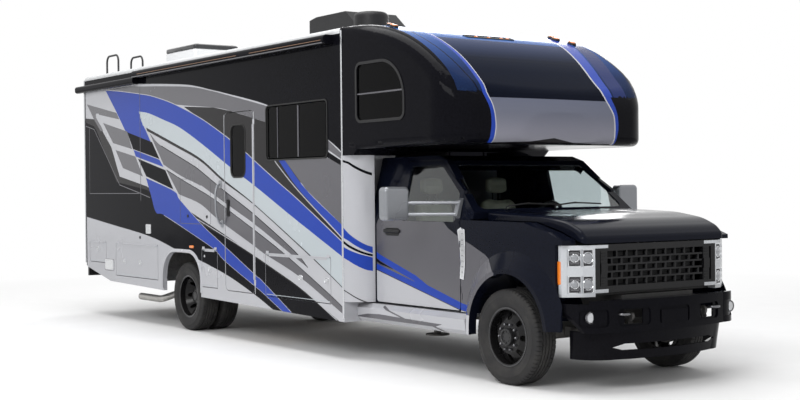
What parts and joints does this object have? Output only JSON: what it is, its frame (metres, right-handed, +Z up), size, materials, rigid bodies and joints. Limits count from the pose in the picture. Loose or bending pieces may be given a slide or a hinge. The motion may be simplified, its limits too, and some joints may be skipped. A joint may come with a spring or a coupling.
{
  "type": "over-cab motorhome",
  "caption": "Motorhome with an over-cab body on a pickup cab chassis: hollow coach and cab, steered front wheels, twin rear wheels, hinged doors, hood and baggage doors.",
  "frame": {"origin": "on the ground under the middle of the overall length and width", "axes": "+X forward, +Y to the vehicle's left, +Z up"},
  "size_m": [10.1899, 3.22, 3.7319],
  "materials": {
    "frame_black": "satin chassis paint",
    "axle_steel": "painted cast iron",
    "engine_metal": "bare cast iron",
    "exhaust_steel": "aluminised steel",
    "tank_black": "moulded plastic",
    "tyre": "black rubber",
    "wheel_black": "gloss black",
    "cab_paint": "gloss dark blue-black",
    "body_silver": "gloss silver",
    "body_black": "gloss black",
    "black_plastic": "moulded black plastic",
    "grille_black": "gloss black",
    "lamp_clear": "clear lens over bright reflector",
    "lamp_red": "red lens",
    "glass_dark": "dark tinted",
    "glass_clear": "light tinted",
    "seat_cream": "cream trim",
    "trim_dark": "dark interior trim",
    "floor_ply": "plywood floor",
    "bin_grey": "galvanised sheet",
    "mirror_silver": "silver housing",
    "white_plastic": "white moulded cover"
  },
  "bodies": {
    "coach": {"chassis_frame": "frame_black", "front_axle": "axle_steel", "rear_axle": "axle_steel", "engine_block": "engine_metal", "exhaust": "exhaust_steel", "fuel_tank": "tank_black", "cab_shell": "cab_paint", "windshield": "glass_clear", "front_fenders": "cab_paint", "grille": "grille_black", "headlamps": "lamp_clear", "front_support": "frame_black", "front_bumper": "body_black", "front_valance": "body_black", "cab_seats": "seat_cream", "dashboard": "trim_dark", "running_boards": "body_silver", "cab_surround": "body_silver", "coach_floor": "floor_ply", "wall_left": "body_silver", "wall_right": "body_silver", "wall_rear": "body_silver", "roof": "white_plastic", "overcab_cap": "body_black", "cap_pan": "body_black", "coach_windows": "glass_dark", "window_frames": "black_plastic", "baggage_bins": "bin_grey", "roof_units": "black_plastic", "roof_vent": "white_plastic", "awnings": "body_black", "ladder": "frame_black", "tail_lamps": "lamp_red", "rear_bumper": "black_plastic"},
    "knuckle_left": {"knuckle_left": "axle_steel"},
    "knuckle_right": {"knuckle_right": "axle_steel"},
    "wheel_front_left": {"tyre_front_left": "tyre", "wheel_front_left": "wheel_black"},
    "wheel_rear_left": {"tyres_rear_left": "tyre", "wheels_rear_left": "wheel_black"},
    "cab_door_left": {"cab_door_left": "cab_paint", "cab_door_glass_left": "glass_clear", "mirror_left": "mirror_silver"},
    "wheel_front_right": {"tyre_front_right": "tyre", "wheel_front_right": "wheel_black"},
    "wheel_rear_right": {"tyres_rear_right": "tyre", "wheels_rear_right": "wheel_black"},
    "cab_door_right": {"cab_door_right": "cab_paint", "cab_door_glass_right": "glass_clear", "mirror_right": "mirror_silver"},
    "hood": {"hood": "cab_paint"},
    "entry_door": {"entry_door": "body_silver", "entry_door_glass": "glass_dark"},
    "bag_door_front_right": {"bag_door_front_right": "body_silver"},
    "bag_door_front_left": {"bag_door_front_left": "body_silver"},
    "bag_door_mid_right": {"bag_door_mid_right": "body_silver"},
    "bag_door_rear_right": {"bag_door_rear_right": "body_silver"},
    "bag_door_rear_left": {"bag_door_rear_left": "body_silver"},
    "bag_door_tail_right": {"bag_door_tail_right": "body_silver"}
  },
  "joints": [
    {"name": "steer_left", "type": "hinge", "parent": "coach", "child": "knuckle_left", "pos_m": [4.105, 0.86, 0.419], "axis": [0, 0, 1], "range_deg": [-35, 35]},
    {"name": "spin_front_left", "type": "hinge", "parent": "knuckle_left", "child": "wheel_front_left", "pos_m": [4.105, 0.945, 0.419], "axis": [0, 1, 0], "continuous": true},
    {"name": "spin_rear_left", "type": "hinge", "parent": "coach", "child": "wheel_rear_left", "pos_m": [-1.895, 0.965, 0.419], "axis": [0, 1, 0], "continuous": true},
    {"name": "open_cab_door_left", "type": "hinge", "parent": "coach", "child": "cab_door_left", "pos_m": [3.409, 1.021, 1], "axis": [0, 0, -1], "range_deg": [0, 65]},
    {"name": "steer_right", "type": "hinge", "parent": "coach", "child": "knuckle_right", "pos_m": [4.105, -0.86, 0.419], "axis": [0, 0, 1], "range_deg": [-35, 35]},
    {"name": "spin_front_right", "type": "hinge", "parent": "knuckle_right", "child": "wheel_front_right", "pos_m": [4.105, -0.945, 0.419], "axis": [0, 1, 0], "continuous": true},
    {"name": "spin_rear_right", "type": "hinge", "parent": "coach", "child": "wheel_rear_right", "pos_m": [-1.895, -0.965, 0.419], "axis": [0, 1, 0], "continuous": true},
    {"name": "open_cab_door_right", "type": "hinge", "parent": "coach", "child": "cab_door_right", "pos_m": [3.409, -1.021, 1], "axis": [0, 0, 1], "range_deg": [0, 65]},
    {"name": "open_hood", "type": "hinge", "parent": "coach", "child": "hood", "pos_m": [3.645, 0, 1.46], "axis": [0, -1, 0], "range_deg": [0, 50]},
    {"name": "open_entry_door", "type": "hinge", "parent": "coach", "child": "entry_door", "pos_m": [-0.039, -1.262, 1.6], "axis": [0, 0, 1], "range_deg": [0, 100]},
    {"name": "open_bag_front_right", "type": "hinge", "parent": "coach", "child": "bag_door_front_right", "pos_m": [0.885, -1.262, 1.026], "axis": [-1, 0, 0], "range_deg": [0, 90]},
    {"name": "open_bag_front_left", "type": "hinge", "parent": "coach", "child": "bag_door_front_left", "pos_m": [0.885, 1.262, 1.026], "axis": [1, 0, 0], "range_deg": [0, 90]},
    {"name": "open_bag_mid_right", "type": "hinge", "parent": "coach", "child": "bag_door_mid_right", "pos_m": [-1.14, -1.262, 1.026], "axis": [-1, 0, 0], "range_deg": [0, 90]},
    {"name": "open_bag_rear_right", "type": "hinge", "parent": "coach", "child": "bag_door_rear_right", "pos_m": [-3.245, -1.262, 1.026], "axis": [-1, 0, 0], "range_deg": [0, 90]},
    {"name": "open_bag_rear_left", "type": "hinge", "parent": "coach", "child": "bag_door_rear_left", "pos_m": [-3.245, 1.262, 1.026], "axis": [1, 0, 0], "range_deg": [0, 90]},
    {"name": "open_bag_tail_right", "type": "hinge", "parent": "coach", "child": "bag_door_tail_right", "pos_m": [-4.54, -1.262, 1.026], "axis": [-1, 0, 0], "range_deg": [0, 90]}
  ],
  "couplings": [
    {"joint": "steer_right", "follows": "steer_left", "ratio": 1}
  ]
}
